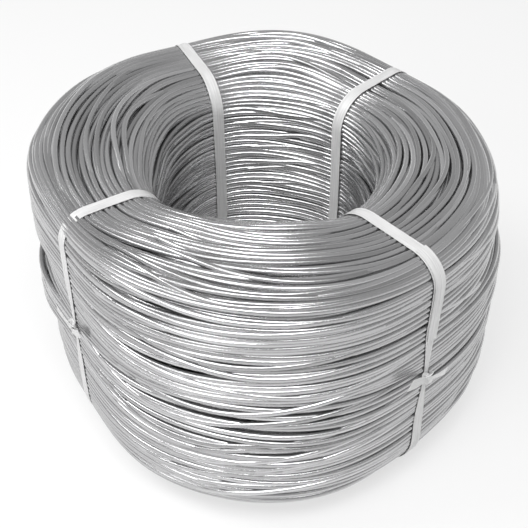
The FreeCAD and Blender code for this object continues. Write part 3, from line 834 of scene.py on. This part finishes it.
stage = {
    "floorSize": 16.0,
    "floorGap": 0.0005,      # keeps the floor clear of the lowest turns
    "white": "#FFFFFF",
    "floorColour": "#E8E8E8",
    "glow": 0.6,             # share of plain white in the floor, the rest takes the shadow
    "bandTop": 0.10,         # sine of the elevation at which the white walls end
    "bandBlur": 0.1,
    "roomShade": 0.43,
}


def buildFloor():
    half = stage["floorSize"] / 2
    mesh = bpy.data.meshes.new("floor")
    corners = [(-half, -half, 0), (half, -half, 0), (half, half, 0), (-half, half, 0)]
    mesh.from_pydata(corners, [], [(0, 1, 2, 3)])
    floor = bpy.data.objects.new("floor", mesh)
    bpy.context.scene.collection.objects.link(floor)
    floor.location.z = coilBox[0].z - stage["floorGap"]
    material = emptyMaterial("paleFloor")
    tree = material.node_tree
    diffuse = addNode(tree, "ShaderNodeBsdfDiffuse", None, {"Color": linear(stage["floorColour"])})
    glow = addNode(tree, "ShaderNodeEmission", None, {"Color": linear(stage["white"]), "Strength": 1.0})
    path = addNode(tree, "ShaderNodeLightPath")
    straight = addNode(tree, "ShaderNodeMath", {"operation": "MAXIMUM"},
                       {0: path.outputs["Is Camera Ray"], 1: path.outputs["Is Transmission Ray"]})
    seen = addNode(tree, "ShaderNodeMath", {"operation": "MAXIMUM"},
                   {0: straight, 1: path.outputs["Is Glossy Ray"]})
    share = addNode(tree, "ShaderNodeMath", {"operation": "MULTIPLY"}, {0: seen, 1: stage["glow"]})
    mixed = addNode(tree, "ShaderNodeMixShader", None, {0: share, 1: diffuse, 2: glow})
    addNode(tree, "ShaderNodeOutputMaterial", None, {"Surface": mixed})
    mesh.materials.append(material)


# a studio room: white walls to a little above the horizon, dim above them
def buildWorld():
    world = bpy.data.worlds.new("studio")
    bpy.context.scene.world = world
    world.use_nodes = True
    tree = world.node_tree
    tree.nodes.clear()
    direction = addNode(tree, "ShaderNodeTexCoord")
    parts = addNode(tree, "ShaderNodeSeparateXYZ", None, {0: direction.outputs["Generated"]})
    strength = addNode(tree, "ShaderNodeMapRange", {"interpolation_type": "SMOOTHSTEP"}, {
        "Value": parts.outputs["Z"], "From Min": stage["bandTop"],
        "From Max": stage["bandTop"] + stage["bandBlur"], "To Min": 1.0, "To Max": stage["roomShade"]})
    room = addNode(tree, "ShaderNodeBackground", None,
                   {"Color": linear(stage["white"]), "Strength": strength})
    addNode(tree, "ShaderNodeOutputWorld", None, {"Surface": room})


# large soft lamps on an arc over the front of the coil, and one from the left
lamps = {
    "overheadFront": {"azimuth": 270, "elevation": 65, "power": 6.4},
    "highLeft": {"azimuth": 235, "elevation": 60, "power": 2.9},
    "lowLeft": {"azimuth": 235, "elevation": 35, "power": 2.6},
    "highRight": {"azimuth": 305, "elevation": 60, "power": 0.8},
    "sideLeft": {"azimuth": 180, "elevation": 50, "power": 4.6},
}
lampDistance = 1.2
lampSize = (0.5, 0.35)


def buildLamps():
    middle = Vector((0, 0, coil["height"] / 2))
    for name, lamp in lamps.items():
        light = bpy.data.lights.new(name, "AREA")
        light.shape = "RECTANGLE"
        light.size, light.size_y = lampSize
        light.energy = lamp["power"]
        holder = bpy.data.objects.new(name, light)
        bpy.context.scene.collection.objects.link(holder)
        azimuth = math.radians(lamp["azimuth"])
        elevation = math.radians(lamp["elevation"])
        away = Vector((math.cos(azimuth) * math.cos(elevation), math.sin(azimuth) * math.cos(elevation),
                       math.sin(elevation)))
        holder.location = middle + away * lampDistance
        holder.rotation_euler = (-away).to_track_quat("-Z", "Y").to_euler()


camera = {
    "distance": 0.5,
    "elevation": 40.9,
    "lens": 69.3,
    "sensor": 36,
    "nearest": 0.01,
    "shift": (0.0016, -0.0153),
}


def buildCamera():
    lens = bpy.data.cameras.new("camera")
    lens.sensor_width = camera["sensor"]
    lens.lens = camera["lens"]
    lens.shift_x, lens.shift_y = camera["shift"]
    lens.clip_start = camera["nearest"]
    holder = bpy.data.objects.new("camera", lens)
    bpy.context.scene.collection.objects.link(holder)
    tilt = math.radians(camera["elevation"])
    back = Vector((0, -math.cos(tilt), math.sin(tilt)))
    holder.location = Vector((0, 0, coil["height"] / 2)) + back * camera["distance"]
    holder.rotation_euler = (-back).to_track_quat("-Z", "Y").to_euler()
    bpy.context.scene.camera = holder


buildFloor()
buildWorld()
buildLamps()
buildCamera()
bpy.context.scene.view_settings.view_transform = "Standard"
print("stage, lamps and camera placed")
